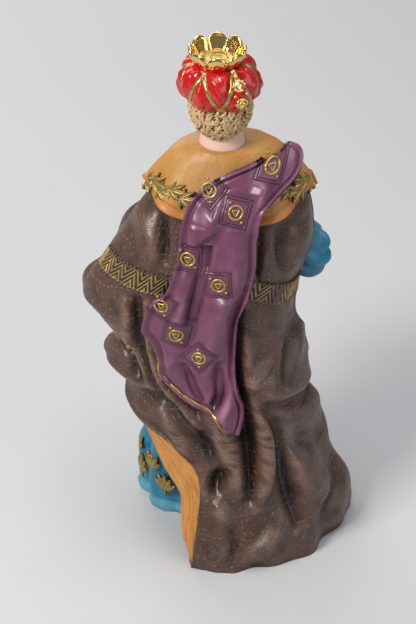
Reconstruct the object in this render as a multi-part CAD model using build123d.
"""Standing crowned king, a painted slip-cast ceramic figure, as the castings it is assembled from.

Millimetres. +Z is up, the king faces -Y, and his left hand is on +X.
The origin is on the underside, below the neck's axis.
Heights stack upwards: floor, waist, collar, skull, turban, crown.
Every draped piece lies between two surfaces, each a function of an angle from +X and a height.
"""

from build123d import *
import math
import os

# ---------------------------------------------------------------- driving sizes
SKIRT_H = 125.0            # floor to waist
TORSO_H = 94.0             # waist to collar
NECK_H = 9.0               # collar to the underside of the skull
NECK_R = 10.4
GOWN_HALF_WIDTH = 46.0     # at the hem
GOWN_HALF_DEPTH = 37.0
GOWN_SET_FORWARD = 10.0    # hem's middle, ahead of the neck's axis
WAIST_HALF_WIDTH = 24.0
WAIST_HALF_DEPTH = 18.0
CHEST_HALF_WIDTH = 28.0    # the body, below the shoulders
CAST_WALL = 5.0            # slip-cast wall
FOOT_PLATE = 4.0           # the gown's closed underside
VENT_R = 1.9               # vent hole in the underside
VENT_SET_FORWARD = 22.0
TRAIN_BACK = 62.0          # cloak at the floor, behind the axis
TRAIN_RIGHT = 65.0         # cloak at the floor, towards the right hand
CLOAK_WAIST_BACK = 34.0
CLOAK_WAIST_RIGHT = 33.5
LOBE_OUT = 72.0            # cloak hanging from the left elbow
TRAIN_FOLDS = 9            # folds round a full turn, shown behind
FOLD_DEPTH = 3.2           # at the floor
LINING_WALL = 4.0
CAPE_HALF_WIDTH = 44.5
CAPE_BACK = 31.0
CAPE_FRONT = 27.0
CAPE_DROP = 31.0           # collar to the cape's lower edge
CAPE_WALL = 4.0
STOLE_WALL = 3.0
STOLE_TIP_Z = 77.0         # lowest point of the stole, above the floor
BAND_H = 10.0
BAND_RISE = 28.0           # waist to the middle of the chevron band
BAND_SLOPE = 0.13          # the band climbs towards the left hand
BAND_WALL = 1.2
SLIP_GAP = 0.3             # film of slip between two castings
HEAD_HALF_WIDTH = 13.0
HEAD_HALF_DEPTH = 14.5
HEAD_HALF_HEIGHT = 15.5
HAIR_WALL = 2.2
TURBAN_R = 19.6
TURBAN_HALF_H = 11.0
CROWN_BASE_R = 9.6
CROWN_RIM_R = 13.2
CROWN_H = 6.2              # base to the bottom of the scallops
CROWN_WALL = 1.3
CROWN_FLOOR = 2.0
CROWN_SINK = 2.6           # the crown is bedded this deep in the turban
CROWN_POINTS = 8
CROWN_POINT_H = 3.3
SLEEVE_R = 11.5
CUFF_LEN = 5.0
CUFF_WALL = 1.2
WRIST_R = 4.4
FINGER_R = 1.7
CHEST_L = 34.0
CHEST_W = 22.0
CHEST_H = 13.0
CHEST_PLINTH_H = 2.5
SASH_H = 9.0
SASH_WALL = 2.4
SASH_TAIL_L = 62.0
RELIEF = 1.0               # raised, gilded ornament
LEAF_BAND_H = 9.0
TRIM_W = 2.2               # gilded edge of the stole
CLASP_R = 3.6
STONE_R = 2.2
RIBBONS = 12
RIBBON_W = 2.2
RIBBON_LEAN = 24.0         # degrees
CLASP_TURN = 118.0         # degrees; the turban's clasp is behind, a little to the right
CHEST_LIP = 1.4
LID_RISE = 0.55            # the barrel lid's rise over its half width
KNOB_R = 2.0
KNOB_H = 3.5
PALM_T = 3.4
PALM_L = 7.5
PALM_H = 6.0
FINGER_L = 8.0
BEARD_HALF_WIDTH = 9.5
BEARD_H = 12.0
SHOE_SPREAD = 14.0
SASH_TAIL_SETOFF = 1.0
FAN_Z = 10.0
FAN_H = 22.0
FAN_HALF_TURN = 9.0
MEDALLION_R = 3.4
SHOE_R = 7.5

# ---------------------------------------------------------------- places worked out from them
WAIST_Z = SKIRT_H
COLLAR_Z = WAIST_Z + TORSO_H
CAPE_HEM_Z = COLLAR_Z - CAPE_DROP
NECK_X, NECK_Y = 3.0, 0.5
HEAD_X, HEAD_Y = 4.0, -1.0
HEAD_Z = COLLAR_Z + NECK_H + HEAD_HALF_HEIGHT * 0.6
TURBAN_Z = HEAD_Z + HEAD_HALF_HEIGHT * 0.85
CROWN_X, CROWN_Y = HEAD_X + 1.6, HEAD_Y
CROWN_Z = TURBAN_Z + TURBAN_HALF_H - CROWN_SINK
CHEST_X, CHEST_Y = -1.0, -(CHEST_W / 2 + WAIST_HALF_DEPTH + 19.0)
CHEST_Z = WAIST_Z + 24.0
LEFT, RIGHT = 1, -1
FAR = 400.0                # past everything
LEFT_ELBOW = (41.5, 0.0)
RIGHT_ELBOW = (-39.0, -14.0)
ELBOW_Z = WAIST_Z + 20.0
BAND_SEAT = 0.6            # the band's back stands this far off the cloak
SEAM_TURN = 1.7            # degrees between the cloak's edge and its lining
LINING_REVEAL = 4.2        # degrees of lining turned out along the front edges
SWEEP_Z = 68.0             # the cloak is swept back below this height, on the left
BAND_FROM, BAND_TO = 2.0, 166.0
# The cloak's front edges and the lining's, in degrees, against height over the cape's lower edge.
LEFT_EDGE = [
    (0.00, 71.0),
    (0.15, 74.0),
    (0.23, 66.0),
    (0.29, 50.0),
    (0.31, 34.0),
    (0.36, 10.0),
    (0.42, -6.0),
    (0.60, -14.0),
    (1.00, -20.0),
    (1.10, -20.0),
]
LINING_EDGE = [(0.00, 64.0), (0.04, 57.0), (0.10, 47.0), (0.17, 32.0), (0.25, 20.0), (0.37, 4.0), (1.0, 0.0)]
RIGHT_EDGE = [
    (0.00, 208.0),
    (0.15, 203.0),
    (0.33, 194.0),
    (0.53, 182.0),
    (0.64, 170.0),
    (0.76, 168.0),
    (0.90, 176.0),
    (1.00, 186.0),
    (1.10, 188.0),
]
# Medallions: sideways place, and height as a share from the stole's point to the collar.
MEDALLIONS = [(-4.0, 0.84), (8.5, 0.925), (19.1, 0.68), (6.2, 0.60), (31.0, 0.52), (24.6, 0.40), (12.4, 0.32)]
FAN_TURNS = [-160, -134, -112, -68, -46, -24, -2, 20, 42]

PARTS = {}


# ---------------------------------------------------------------- helpers
def keep(name, shape):
    """Names a finished sub-part."""
    PARTS[name] = shape
    return shape


def along(table, at):
    """A smooth curve through (place, value, ...) rows, read at a place; the values come back as a list."""
    places = [row[0] for row in table]
    at = min(max(at, places[0]), places[-1])
    k = max(i for i in range(len(table) - 1) if places[i] <= at)
    low, high = table[k], table[k + 1]
    before, after = table[max(k - 1, 0)], table[min(k + 2, len(table) - 1)]
    t = (at - low[0]) / (high[0] - low[0])
    values = []
    for a, b, c, d in zip(before[1:], low[1:], high[1:], after[1:]):
        slope_b = (c - a) / (high[0] - before[0]) * (high[0] - low[0])
        slope_c = (d - b) / (after[0] - low[0]) * (high[0] - low[0])
        rise = c - b
        if slope_b * rise <= 0:
            slope_b = 0.0
        if slope_c * rise <= 0:
            slope_c = 0.0
        values.append(
            b + slope_b * t + (3 * rise - 2 * slope_b - slope_c) * t * t + (slope_b + slope_c - 2 * rise) * t**3
        )
    return values


def levels(z_low, z_high, step=12.0):
    """Evenly spaced heights, both ends included."""
    count = max(2, round((z_high - z_low) / step))
    return [z_low + (z_high - z_low) * k / count for k in range(count + 1)]


def tube(surface, heights, grow=0.0, count=20):
    """A closed solid lofted through a surface's outlines at the heights."""
    outlines = []
    for z in heights:
        points = [(*surface(2 * math.pi * k / count, z, grow), z) for k in range(count)]
        outlines.append(make_face(Spline(*points, periodic=True)))
    return loft(outlines)


def shell(inner, outer, heights, start, end, count=16):
    """A wall between two surfaces, from the angle start(z) to end(z), lofted through the heights."""
    outlines = []
    for z in heights:
        turns = [start(z) + (end(z) - start(z)) * k / count for k in range(count + 1)]
        out_edge = Spline(*[(*outer(t, z), z) for t in turns])
        in_edge = Spline(*[(*inner(t, z), z) for t in turns])
        ends = [Line(in_edge @ k, out_edge @ k) for k in (0, 1)]
        outlines.append(make_face([out_edge, in_edge, *ends]))
    return loft(outlines)


def strip(sections):
    """A solid lofted through flat four-sided sections, each four corner points."""
    return loft([make_face(Polyline(*corners, close=True)) for corners in sections])


def group(shapes):
    """Several separate solids as one sub-part."""
    return Compound(children=[solid for shape in shapes for solid in shape.solids()])


def one(shape):
    """The largest solid of a boolean's result."""
    return sorted(shape.solids(), key=lambda s: s.volume)[-1]


def rod(start, end, r_start, r_end):
    """A round bar between two points."""
    axis = Vector(*end) - Vector(*start)
    low = (Align.CENTER, Align.CENTER, Align.MIN)
    if abs(r_start - r_end) < 1e-6:
        return Plane(origin=start, z_dir=axis) * Cylinder(r_start, axis.length, align=low)
    return Plane(origin=start, z_dir=axis) * Cone(r_start, r_end, axis.length, align=low)


def ball(x, y, z, rx, ry, rz):
    """An ellipsoid."""
    return Pos(x, y, z) * scale(Sphere(1.0), by=(rx, ry, rz))


# ---------------------------------------------------------------- surfaces: angle and height to x, y
def gown_at(turn, z, grow=0.0):
    """The gown's outside, a near-oval that narrows to the waist."""
    (wide,) = along([(0.0, 1.0), (0.2, 0.96), (0.36, 0.80), (0.66, 0.36), (1.0, 0.0)], z / SKIRT_H)
    half_width = WAIST_HALF_WIDTH + (GOWN_HALF_WIDTH - WAIST_HALF_WIDTH) * wide + grow
    half_depth = WAIST_HALF_DEPTH + (GOWN_HALF_DEPTH - WAIST_HALF_DEPTH) * wide + grow
    return half_width * math.cos(turn), half_depth * math.sin(turn) - GOWN_SET_FORWARD * wide


def tunic_at(turn, z, grow=0.0):
    """The upper body's outside, from the waist to the collar."""
    half_width, half_depth = along(
        [
            (0.00, WAIST_HALF_WIDTH, WAIST_HALF_DEPTH),
            (0.40, CHEST_HALF_WIDTH, WAIST_HALF_DEPTH + 1.0),
            (0.66, CHEST_HALF_WIDTH - 1.0, WAIST_HALF_DEPTH),
            (0.84, CHEST_HALF_WIDTH - 8.0, WAIST_HALF_DEPTH - 4.0),
            (1.00, NECK_R + 1.5, NECK_R + 1.5),
        ],
        (z - WAIST_Z) / TORSO_H,
    )
    rise = (z - WAIST_Z) / TORSO_H
    return (
        (half_width + grow) * math.cos(turn) + NECK_X * rise,
        (half_depth + grow) * math.sin(turn) + NECK_Y * rise,
    )


def cape_at(turn, z, grow=0.0):
    """The shoulder cape's outside; the shoulders are broad and slope to two side points."""
    wide, deep = along(
        [
            (-0.10, 0.29, 0.41),
            (0.00, 0.46, 0.48),
            (0.10, 0.58, 0.55),
            (0.32, 0.76, 0.69),
            (0.58, 0.90, 0.83),
            (0.80, 0.98, 0.93),
            (1.00, 1.00, 1.00),
        ],
        (COLLAR_Z - z) / CAPE_DROP,
    )
    depth = CAPE_BACK if math.sin(turn) >= 0 else CAPE_FRONT
    return (CAPE_HALF_WIDTH * wide + grow) * math.cos(turn), (depth * deep + grow) * math.sin(turn)


CLOAK_TOP_Z = COLLAR_Z - 0.6 * CAPE_DROP


def cloak_at(turn, z, grow=0.0):
    """The cloak's outside: it follows the cape's inside at the shoulders and sweeps out to the train."""
    if z >= CAPE_HEM_Z - SLIP_GAP:
        return cape_at(turn, z, grow - CAPE_WALL - 2 * SLIP_GAP)
    hang = TRAIN_BACK - CLOAK_WAIST_BACK
    slack = TRAIN_RIGHT - CLOAK_WAIST_RIGHT
    left, right, back, fold = along(
        [
            (0.00, GOWN_HALF_WIDTH + 8.0, TRAIN_RIGHT, TRAIN_BACK, 1.0),
            (0.05, GOWN_HALF_WIDTH + 8.0, TRAIN_RIGHT - 1.0, TRAIN_BACK - 1.0, 1.0),
            (0.17, GOWN_HALF_WIDTH + 9.0, TRAIN_RIGHT - slack * 0.35, TRAIN_BACK - hang * 0.35, 0.9),
            (0.34, LOBE_OUT - 16.0, CLOAK_WAIST_RIGHT + slack * 0.40, CLOAK_WAIST_BACK + hang * 0.36, 0.8),
            (0.50, LOBE_OUT - 11.0, CLOAK_WAIST_RIGHT + slack * 0.22, CLOAK_WAIST_BACK + hang * 0.18, 0.6),
            (0.60, LOBE_OUT - 17.0, CLOAK_WAIST_RIGHT + slack * 0.10, CLOAK_WAIST_BACK + hang * 0.06, 0.5),
            (0.70, LOBE_OUT, CLOAK_WAIST_RIGHT, CLOAK_WAIST_BACK, 0.3),
            (0.80, LOBE_OUT - 8.0, CLOAK_WAIST_RIGHT + 3.5, CLOAK_WAIST_BACK - 1.0, 0.1),
            (0.90, LOBE_OUT - 20.0, CLOAK_WAIST_RIGHT + 7.5, CLOAK_WAIST_BACK - 3.0, 0.0),
            (1.00, CAPE_HALF_WIDTH - CAPE_WALL, CAPE_HALF_WIDTH - CAPE_WALL, CAPE_BACK - CAPE_WALL, 0.0),
        ],
        z / CAPE_HEM_Z,
    )
    side = left if math.cos(turn) >= 0 else right
    (front,) = along([(0.0, CAPE_FRONT + 7.0), (0.5, CAPE_FRONT), (1.0, CAPE_FRONT - CAPE_WALL)], z / CAPE_HEM_Z)
    depth = back if math.sin(turn) >= 0 else front
    ripple = FOLD_DEPTH * fold * max(0.0, math.sin(turn)) ** 2 * math.cos(TRAIN_FOLDS * turn)
    reach = grow + ripple
    return (side + reach) * math.cos(turn), (depth + reach) * math.sin(turn)


# ---------------------------------------------------------------- body castings
def make_gown():
    """The gown's lower casting: hollow, closed below, with a vent hole."""
    solid = tube(gown_at, levels(0.0, WAIST_Z, 18.0))
    cavity = tube(gown_at, levels(FOOT_PLATE, WAIST_Z - CAST_WALL, 18.0), -CAST_WALL)
    vent = Pos(0, -VENT_SET_FORWARD, 0) * Cylinder(VENT_R, 4 * FOOT_PLATE)
    return keep("gown_lower_casting", one(solid - cavity - vent))


def make_tunic():
    """The upper body's casting, hollow; its shoulders close under the collar."""
    solid = tube(tunic_at, levels(WAIST_Z, COLLAR_Z))
    cavity = tube(tunic_at, levels(WAIST_Z + CAST_WALL, COLLAR_Z - 2 * CAST_WALL), -CAST_WALL)
    return keep("tunic_casting", one(solid - cavity))


def make_cape():
    """The tan shoulder cape, a wall that closes on the collar, with its leaf trim and clasp."""
    outside = tube(cape_at, levels(CAPE_HEM_Z, COLLAR_Z, 5.0))
    under = tube(cape_at, levels(CAPE_HEM_Z - 2.0, CLOAK_TOP_Z, 5.0), -CAPE_WALL)
    body = tube(tunic_at, levels(WAIST_Z, COLLAR_Z), 2 * SLIP_GAP)
    keep("shoulder_cape", one(outside - under - body))


def make_cloak():
    """The brown cloak with its train, and the tan lining that shows along its edges."""

    def inside(turn, z):
        return cloak_at(turn, z, -CAST_WALL)

    def lining_outside(turn, z):
        return cloak_at(turn, z, LINING_WALL - CAST_WALL)

    def corner(turn_table):
        return lambda z: math.radians(along(turn_table, z / CAPE_HEM_Z)[0])

    hems = [0.0, *levels(0.06 * SWEEP_Z, SWEEP_Z, 7.0)[:-1], *levels(SWEEP_Z, CLOAK_TOP_Z, 9.0)]
    left, right = corner(LEFT_EDGE), corner(RIGHT_EDGE)
    keep("cloak_casting", shell(inside, cloak_at, hems, left, right, 34))
    seam = math.radians(SEAM_TURN)
    sweep = corner(LINING_EDGE)
    low = [z for z in hems if z < SWEEP_Z + 1.0]
    keep("lower_left_lining", shell(inside, lining_outside, low, sweep, lambda z: left(z) - seam, 8))
    reveal = math.radians(LINING_REVEAL)
    upper = levels(SWEEP_Z + 14.0, CAPE_HEM_Z - 3.0)
    keep(
        "front_left_lining",
        shell(inside, lining_outside, upper, lambda z: left(z) - reveal, lambda z: left(z) - seam, 4),
    )
    lower = levels(0.0, ELBOW_Z - SLEEVE_R - 8.0)
    keep(
        "front_right_lining",
        shell(inside, lining_outside, lower, lambda z: right(z) + seam, lambda z: right(z) + reveal, 4),
    )


def band_section(turn, z_mid):
    """One upright cross-section of the chevron band, bent to the cloak's slope."""
    x, y = cloak_at(turn, z_mid)
    ahead = cloak_at(turn + 0.01, z_mid)
    along_band = Vector(ahead[0] - x, ahead[1] - y, 0).normalized()
    outward = Vector(along_band.Y, -along_band.X, 0)
    inner, outer = [], []
    for dz in (-BAND_H / 2, 0.0, BAND_H / 2):
        there = Vector(*cloak_at(turn, z_mid + dz), 0) - Vector(x, y, 0)
        base = Vector(x, y, z_mid + dz) + outward * (there.dot(outward) + BAND_SEAT)
        inner.append(base)
        outer.append(base + outward * BAND_WALL)
    return [*inner, *reversed(outer)]


def make_band():
    """The gilded chevron band across the cloak's back; it dips towards the right hand."""
    start, end = math.radians(BAND_FROM), math.radians(BAND_TO)
    turns = [start + (end - start) * k / 24 for k in range(25)]
    z_mid = WAIST_Z + BAND_RISE
    dips = [z_mid - BAND_SLOPE * CLOAK_WAIST_RIGHT * max(0.0, -math.cos(turn)) for turn in turns]
    keep("cloak_chevron_band", strip([band_section(t, z) for t, z in zip(turns, dips)]))


# ---------------------------------------------------------------- stole
def drape_at(turn, z, grow=0.0):
    """What the stole lies on: the cape's outside, then the cloak with the band under the stole."""
    if z >= CAPE_HEM_Z:
        return cape_at(turn, z, grow + SLIP_GAP)
    (clear,) = along(
        [(0.0, BAND_SEAT + BAND_WALL), (0.8, BAND_SEAT + BAND_WALL), (1.0, CAPE_WALL + SLIP_GAP)], z / CAPE_HEM_Z
    )
    return cloak_at(turn, z, grow + clear + SLIP_GAP)


def turn_for(x, z, grow=0.0):
    """The angle at which the back of the draped surface reaches a sideways place."""
    half_width = abs(drape_at(0.0 if x >= 0 else math.pi, z, grow)[0])
    return math.acos(max(-1.0, min(1.0, x / half_width)))


def stole_out(turn, z):
    return drape_at(turn, z, STOLE_WALL)


def stole_point(x, z, grow=0.0):
    """A point on the stole's outside, at a sideways place and a height, with the outward direction."""
    turn = turn_for(x, z, STOLE_WALL + grow)
    here = Vector(*drape_at(turn, z, STOLE_WALL + grow), z)
    beside = Vector(*drape_at(turn + 0.02, z, STOLE_WALL + grow), z)
    above = Vector(*drape_at(turn, z + 0.5, STOLE_WALL + grow), z + 0.5)
    return here, (beside - here).cross(above - here).normalized()


def stole_edges(z):
    """The stole's left and right edges at a height, as angles."""
    top = COLLAR_Z - 2.5
    share = (z - STOLE_TIP_Z) / (top - STOLE_TIP_Z)
    left_x, right_x = along(
        [
            (0.00, 1.0, -4.5),
            (0.06, 6.5, -5.5),
            (0.13, 21.0, -7.3),
            (0.21, 31.0, -5.0),
            (0.34, 38.0, -5.2),
            (0.49, 33.0, -6.5),
            (0.69, 24.5, -10.0),
            (0.82, 21.8, -12.2),
            (0.92, 13.0, -17.0),
            (0.96, 7.0, -27.0),
            (1.00, -2.0, -30.0),
        ],
        share,
    )
    return turn_for(left_x, z), turn_for(right_x, z)


def make_stole():
    """The mauve stole from the right shoulder to its point, with its medallions and gilded edge."""
    heights = [*levels(STOLE_TIP_Z, CAPE_HEM_Z, 9.0), *levels(CAPE_HEM_Z + 4.0, COLLAR_Z - 2.5, 4.0)]
    keep(
        "stole",
        shell(drape_at, stole_out, heights, lambda z: stole_edges(z)[0], lambda z: stole_edges(z)[1], 14),
    )
    discs = []
    for x, share in MEDALLIONS:
        z = STOLE_TIP_Z + share * (COLLAR_Z - STOLE_TIP_Z)
        place, outward = stole_point(x, z)
        seat = Plane(origin=place + outward * 2 * SLIP_GAP, z_dir=outward)
        low = (Align.CENTER, Align.CENTER, Align.MIN)
        ring_r = MEDALLION_R / 2
        discs.append(seat * (Cylinder(MEDALLION_R, RELIEF, align=low) - Cylinder(ring_r, RELIEF, align=low)))
    keep("stole_medallions", group(discs))
    edge = []
    for z in levels(STOLE_TIP_Z + 2.0, CAPE_HEM_Z - 2.0, 8.0):
        turn = stole_edges(z)[0] - 0.005
        x, y = drape_at(turn, z, STOLE_WALL / 2)
        ahead = drape_at(turn - 0.02, z, STOLE_WALL / 2)
        off = Vector(ahead[0] - x, ahead[1] - y, 0).normalized()
        across = Vector(off.Y, -off.X, 0) * (STOLE_WALL * 0.4)
        start = Vector(x, y, z) + off * SLIP_GAP
        edge.append([start - across, start + across, start + across + off * TRIM_W, start - across + off * TRIM_W])
    keep("stole_edge_trim", strip(edge))


def make_cape_ornament():
    """The gilded leaf scroll above the cape's lower edge, behind, and the clasp in front."""
    def seat(turn, z):
        return cape_at(turn, z, SLIP_GAP)

    def face(turn, z):
        return cape_at(turn, z, SLIP_GAP + RELIEF)

    heights = levels(CAPE_HEM_Z + 7.0, CAPE_HEM_Z + 7.0 + LEAF_BAND_H, 4.0)
    clear = math.radians(5)
    left = shell(seat, face, heights, lambda z: math.radians(12), lambda z: stole_edges(z)[0] - clear, 8)
    right = shell(seat, face, heights, lambda z: stole_edges(z)[1] + clear, lambda z: math.radians(172), 6)
    keep("cape_leaf_trim", group([left, right]))
    z = CAPE_HEM_Z + CAPE_DROP * 0.55
    front = cape_at(-math.pi / 2, z - CLASP_R)[1]
    clasp = Plane(origin=(0, front - SLIP_GAP, z), z_dir=(0, -1, 0))
    low = (Align.CENTER, Align.CENTER, Align.MIN)
    keep("cape_clasp", clasp * Cylinder(CLASP_R, RELIEF * 2, align=low))


# ---------------------------------------------------------------- head
def make_head():
    """Head and neck, hair, beard, the puffed turban with its ribbons and clasp, and the crown."""
    low = (Align.CENTER, Align.CENTER, Align.MIN)
    skull = ball(HEAD_X, HEAD_Y, HEAD_Z, HEAD_HALF_WIDTH, HEAD_HALF_DEPTH, HEAD_HALF_HEIGHT)
    neck = rod((NECK_X, NECK_Y, COLLAR_Z), (HEAD_X, HEAD_Y, HEAD_Z), NECK_R, NECK_R * 0.9)
    nose_y = HEAD_Y - HEAD_HALF_DEPTH
    nose = ball(HEAD_X, nose_y, HEAD_Z - 1.5, 2.0, 3.0, 4.0)
    head = (skull + neck + nose) & (Pos(0, 0, COLLAR_Z) * Box(FAR, FAR, FAR, align=low))
    turban_form = ball(HEAD_X, HEAD_Y, TURBAN_Z, TURBAN_R, TURBAN_R, TURBAN_HALF_H)
    crown_axis = Pos(CROWN_X, CROWN_Y, CROWN_Z)
    above = crown_axis * Cylinder(CROWN_BASE_R + SLIP_GAP, 4 * TURBAN_HALF_H, align=low)
    head = one(head - turban_form)
    keep("head", head)
    keep("turban", one(turban_form - above))

    grown = [
        HEAD_HALF_WIDTH + HAIR_WALL + SLIP_GAP,
        HEAD_HALF_DEPTH + HAIR_WALL + SLIP_GAP,
        HEAD_HALF_HEIGHT + HAIR_WALL + SLIP_GAP,
    ]
    around = ball(HEAD_X, HEAD_Y, HEAD_Z, *grown)
    clear = ball(
        HEAD_X,
        HEAD_Y,
        HEAD_Z,
        HEAD_HALF_WIDTH + SLIP_GAP,
        HEAD_HALF_DEPTH + SLIP_GAP,
        HEAD_HALF_HEIGHT + SLIP_GAP,
    )
    neck_clear = rod((NECK_X, NECK_Y, COLLAR_Z), (HEAD_X, HEAD_Y, HEAD_Z), NECK_R + SLIP_GAP, NECK_R)
    turban_clear = ball(
        HEAD_X, HEAD_Y, TURBAN_Z, TURBAN_R + SLIP_GAP, TURBAN_R + SLIP_GAP, TURBAN_HALF_H + SLIP_GAP
    )
    locks = around - clear - neck_clear - turban_clear
    hair_bottom = HEAD_Z - HEAD_HALF_HEIGHT * 0.5
    face_y = HEAD_Y - HEAD_HALF_DEPTH * 0.25
    back = Pos(HEAD_X, face_y, hair_bottom) * Box(FAR, FAR, FAR, align=(Align.CENTER, Align.MIN, Align.MIN))
    keep("hair", one(locks & back))
    chin_z = HEAD_Z - HEAD_HALF_HEIGHT * 0.35
    front = Pos(HEAD_X, face_y - SLIP_GAP, chin_z) * Box(FAR, FAR, FAR, align=(Align.CENTER, Align.MAX, Align.MAX))
    bush = ball(HEAD_X, HEAD_Y - HEAD_HALF_DEPTH * 0.62, chin_z - 4.0, BEARD_HALF_WIDTH, 8.0, BEARD_H)
    collar = Pos(0, 0, COLLAR_Z + SLIP_GAP) * Box(FAR, FAR, FAR, align=low)
    keep("beard", one((bush & front & collar) - clear - neck_clear))

    band = ball(HEAD_X, HEAD_Y, TURBAN_Z, *[r + SLIP_GAP + RELIEF for r in (TURBAN_R, TURBAN_R, TURBAN_HALF_H)])
    hoops = []
    for k in range(RIBBONS):
        lean = RIBBON_LEAN if k % 2 else -RIBBON_LEAN
        turn = 360.0 * k / RIBBONS
        hoop = Pos(HEAD_X, HEAD_Y, TURBAN_Z) * Rot(0, 0, turn) * Pos(TURBAN_R, 0, 0) * Rot(lean, 0, 0)
        hoops.append(hoop * Box(TURBAN_R * 0.75, RIBBON_W, TURBAN_HALF_H * 2.2))
    ribbons = [(hoop & band) - turban_clear - above - around for hoop in hoops]
    keep("turban_ribbons", group([one(r) for r in ribbons]))

    face_turn = math.radians(CLASP_TURN)
    outward = Vector(math.cos(face_turn), math.sin(face_turn), 0.35).normalized()
    centre = Vector(HEAD_X, HEAD_Y, TURBAN_Z)
    reach = 1.0 / math.sqrt((outward.X**2 + outward.Y**2) / TURBAN_R**2 + outward.Z**2 / TURBAN_HALF_H**2)
    normal = Vector(outward.X / TURBAN_R**2, outward.Y / TURBAN_R**2, outward.Z / TURBAN_HALF_H**2).normalized()
    seat = Plane(origin=centre + outward * reach + normal * (RELIEF + 3 * SLIP_GAP), z_dir=normal)
    plate = seat * Cylinder(CLASP_R, RELIEF, align=low)
    keep("turban_clasp", plate)
    stone = seat * Pos(0, 0, RELIEF) * (Sphere(STONE_R) & Cylinder(2 * STONE_R, 2 * STONE_R, align=low))
    keep("clasp_ruby", stone)


def make_crown():
    """A flared open bowl whose rim rises in rounded points."""
    top = CROWN_H + CROWN_POINT_H
    lean = (CROWN_RIM_R - CROWN_BASE_R) / CROWN_H
    rim = CROWN_RIM_R + lean * CROWN_POINT_H * 0.5
    outside = [(0, 0), (CROWN_BASE_R, 0), (CROWN_BASE_R * 0.97, CROWN_H * 0.35), (rim, top)]
    inside = [
        (rim - CROWN_WALL, top),
        (CROWN_BASE_R * 0.97 - CROWN_WALL, CROWN_H * 0.35),
        (CROWN_BASE_R * 0.9 - CROWN_WALL, CROWN_FLOOR),
        (0, CROWN_FLOOR),
    ]
    profile = Plane.XZ * make_face(Polyline(*outside, *inside, close=True))
    bowl = revolve(profile, Axis.Z)
    gap_r = math.pi * CROWN_RIM_R / CROWN_POINTS * 0.72
    for k in range(CROWN_POINTS):
        notch = Rot(0, 0, 360 * (k + 0.5) / CROWN_POINTS) * Pos(CROWN_RIM_R, 0, top) * Rot(0, 90, 0)
        bowl = bowl - notch * scale(Cylinder(gap_r, CROWN_RIM_R), by=(CROWN_POINT_H / gap_r, 1, 1))
    keep("crown", Pos(CROWN_X, CROWN_Y, CROWN_Z) * one(bowl))


# ---------------------------------------------------------------- arms, chest, sash, shoes
def make_arms():
    """Two sleeves that leave the front of the cloak, their cuffs, and two hands on the gift chest."""
    body = tube(tunic_at, levels(WAIST_Z, COLLAR_Z), SLIP_GAP)
    for name, side, elbow in (("left", LEFT, LEFT_ELBOW), ("right", RIGHT, RIGHT_ELBOW)):
        shoulder = (NECK_X * 0.7 + side * (CHEST_HALF_WIDTH - 8.0), -1.5, CLOAK_TOP_Z - 7.0)
        wrist = (CHEST_X + side * (CHEST_L / 2 + 9.0), CHEST_Y + 13.0, CHEST_Z + CHEST_H * 0.4)
        bend = (*elbow, ELBOW_Z)
        upper = rod(shoulder, bend, SLEEVE_R * 0.72, SLEEVE_R * 0.95)
        lower = rod(bend, wrist, SLEEVE_R * 0.9, SLEEVE_R * 0.8)
        joint = Pos(*bend) * Sphere(SLEEVE_R)
        sleeve = upper + joint + lower
        axis = (Vector(*wrist) - Vector(*bend)).normalized()
        mouth = Vector(*wrist)
        bore = rod(tuple(mouth - axis * 9.0), tuple(mouth + axis * 4.0), WRIST_R + SLIP_GAP, WRIST_R + SLIP_GAP)
        ring_start = mouth + axis * SLIP_GAP
        cuff = rod(
            tuple(ring_start),
            tuple(ring_start + axis * CUFF_LEN),
            SLEEVE_R * 0.8 + CUFF_WALL,
            SLEEVE_R * 0.8 + CUFF_WALL,
        )
        far = 2 * CUFF_LEN
        cuff_bore = rod(
            tuple(ring_start - axis * far), tuple(ring_start + axis * far), SLEEVE_R * 0.62, SLEEVE_R * 0.62
        )
        keep(f"{name}_sleeve_casting", one(sleeve - body - bore))
        keep(f"{name}_sleeve_cuff", cuff - cuff_bore)
        palm_at = Vector(CHEST_X + side * (CHEST_L / 2 + PALM_T + SLIP_GAP), CHEST_Y, wrist[2] - 1.0)
        palm = ball(*palm_at, PALM_T, PALM_L, PALM_H)
        bent = mouth + axis * (CUFF_LEN + 1.0)
        wrist_bar = rod(tuple(mouth - axis * 8.0), tuple(bent), WRIST_R, WRIST_R)
        wrist_bar = wrist_bar + Pos(*bent) * Sphere(WRIST_R * 1.06) + rod(tuple(bent), tuple(palm_at), WRIST_R, WRIST_R * 0.8)
        fingers = []
        for k in range(4):
            drop = (k - 1.5) * FINGER_R * 1.75
            knuckle = palm_at + Vector(0, -PALM_L * 0.55, drop)
            fingers.append(rod(tuple(knuckle), tuple(knuckle + Vector(0, -FINGER_L, -1.0)), FINGER_R, FINGER_R * 0.75))
        hand = palm + fingers
        hand = hand + wrist_bar
        chest_side = Pos(CHEST_X, CHEST_Y, CHEST_Z) * Box(CHEST_L + 2 * SLIP_GAP, 90, 90)
        keep(f"{name}_hand", one(hand - chest_side))


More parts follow.
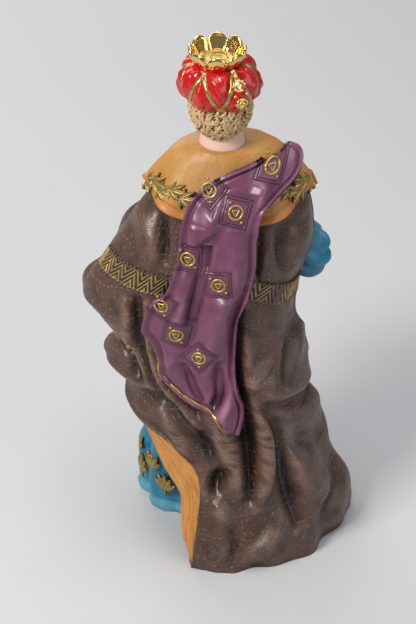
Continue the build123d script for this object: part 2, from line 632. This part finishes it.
def make_chest():
    """The gift chest: plinth, box, barrel lid and knob."""
    low = (Align.CENTER, Align.CENTER, Align.MIN)
    plinth_z = CHEST_Z - CHEST_H / 2
    inset = CHEST_LIP
    plinth = Pos(CHEST_X, CHEST_Y, plinth_z - CHEST_PLINTH_H) * Box(
        CHEST_L - inset, CHEST_W - inset, CHEST_PLINTH_H, align=low
    )
    keep("chest_plinth", plinth)
    outer = Pos(CHEST_X, CHEST_Y, plinth_z) * Box(CHEST_L - 2 * inset, CHEST_W - 2 * inset, CHEST_H, align=low)
    keep("gift_chest", outer)
    lid_z = plinth_z + CHEST_H
    bar = Pos(CHEST_X, CHEST_Y, lid_z) * Rot(0, 90, 0) * scale(
        Cylinder(CHEST_W / 2 - inset / 2, CHEST_L - inset), by=(LID_RISE, 1, 1)
    )
    keep("chest_lid", one(bar & (Pos(CHEST_X, CHEST_Y, lid_z) * Box(FAR, FAR, FAR, align=low))))
    crest = lid_z + (CHEST_W / 2 - inset / 2) * LID_RISE
    keep("chest_knob", rod((CHEST_X, CHEST_Y, crest), (CHEST_X, CHEST_Y, crest + KNOB_H), KNOB_R, KNOB_R * 0.6))


def make_sash():
    """The sash round the waist and its hanging tail."""
    def waist_at(turn, z, grow=0.0):
        return gown_at(turn, z, grow) if z < WAIST_Z else tunic_at(turn, z, grow)

    edge = SASH_H / 2
    around = tube(waist_at, levels(WAIST_Z - edge, WAIST_Z + edge, 3.0), SASH_WALL + 4 * SLIP_GAP)
    within = tube(waist_at, levels(WAIST_Z - edge - 2.0, WAIST_Z + edge + 2.0, 3.0), 4 * SLIP_GAP)
    keep("waist_sash", one(around - within))
    turn = -math.pi / 2 + 0.28
    sections = []
    for z in levels(WAIST_Z - edge - SLIP_GAP - SASH_TAIL_L, WAIST_Z - edge - SLIP_GAP, 10.0):
        near = gown_at(turn, z, 2 * SLIP_GAP)
        far = gown_at(turn, z, 2 * SLIP_GAP + SASH_WALL)
        half = SASH_H / 2
        sections.append(
            [
                Vector(near[0] - half, near[1] - SASH_TAIL_SETOFF, z),
                Vector(near[0] + half, near[1] - SASH_TAIL_SETOFF, z),
                Vector(far[0] + half, far[1] - SASH_TAIL_SETOFF, z),
                Vector(far[0] - half, far[1] - SASH_TAIL_SETOFF, z),
            ]
        )
    keep("sash_tail", strip(sections))


def make_hem():
    """The gilded leaf fans round the gown's hem, and the toes of two shoes under it."""
    fans = []
    for degrees in FAN_TURNS:
        middle = math.radians(degrees)
        fans.append(
            shell(
                lambda t, z: gown_at(t, z, SLIP_GAP),
                lambda t, z: gown_at(t, z, SLIP_GAP + RELIEF),
                levels(FAN_Z, FAN_Z + FAN_H, FAN_H / 3),
                lambda z: middle - math.radians(FAN_HALF_TURN) * (0.4 + 0.6 * (z - FAN_Z) / FAN_H),
                lambda z: middle + math.radians(FAN_HALF_TURN) * (0.4 + 0.6 * (z - FAN_Z) / FAN_H),
                4,
            )
        )
    keep("gown_leaf_motifs", group(fans))
    hem = tube(gown_at, levels(-SHOE_R, 2 * SHOE_R, SHOE_R), SLIP_GAP)
    toe_y = -(GOWN_HALF_DEPTH + GOWN_SET_FORWARD) + 1.0
    ground = Box(FAR, FAR, FAR, align=(Align.CENTER, Align.CENTER, Align.MIN))
    for name, side in (("left", LEFT), ("right", RIGHT)):
        toe = ball(side * SHOE_SPREAD, toe_y, 0, SHOE_R, SHOE_R * 1.35, SHOE_R * 0.8) & ground
        keep(f"{name}_shoe", one(toe - hem))


make_gown()
make_tunic()
make_cape()
make_cloak()
make_band()
make_stole()
make_cape_ornament()
make_head()
make_crown()
make_arms()
make_chest()
make_sash()
make_hem()

os.makedirs("parts", exist_ok=True)
for name, shape in PARTS.items():
    export_step(shape, f"parts/{name}.step")
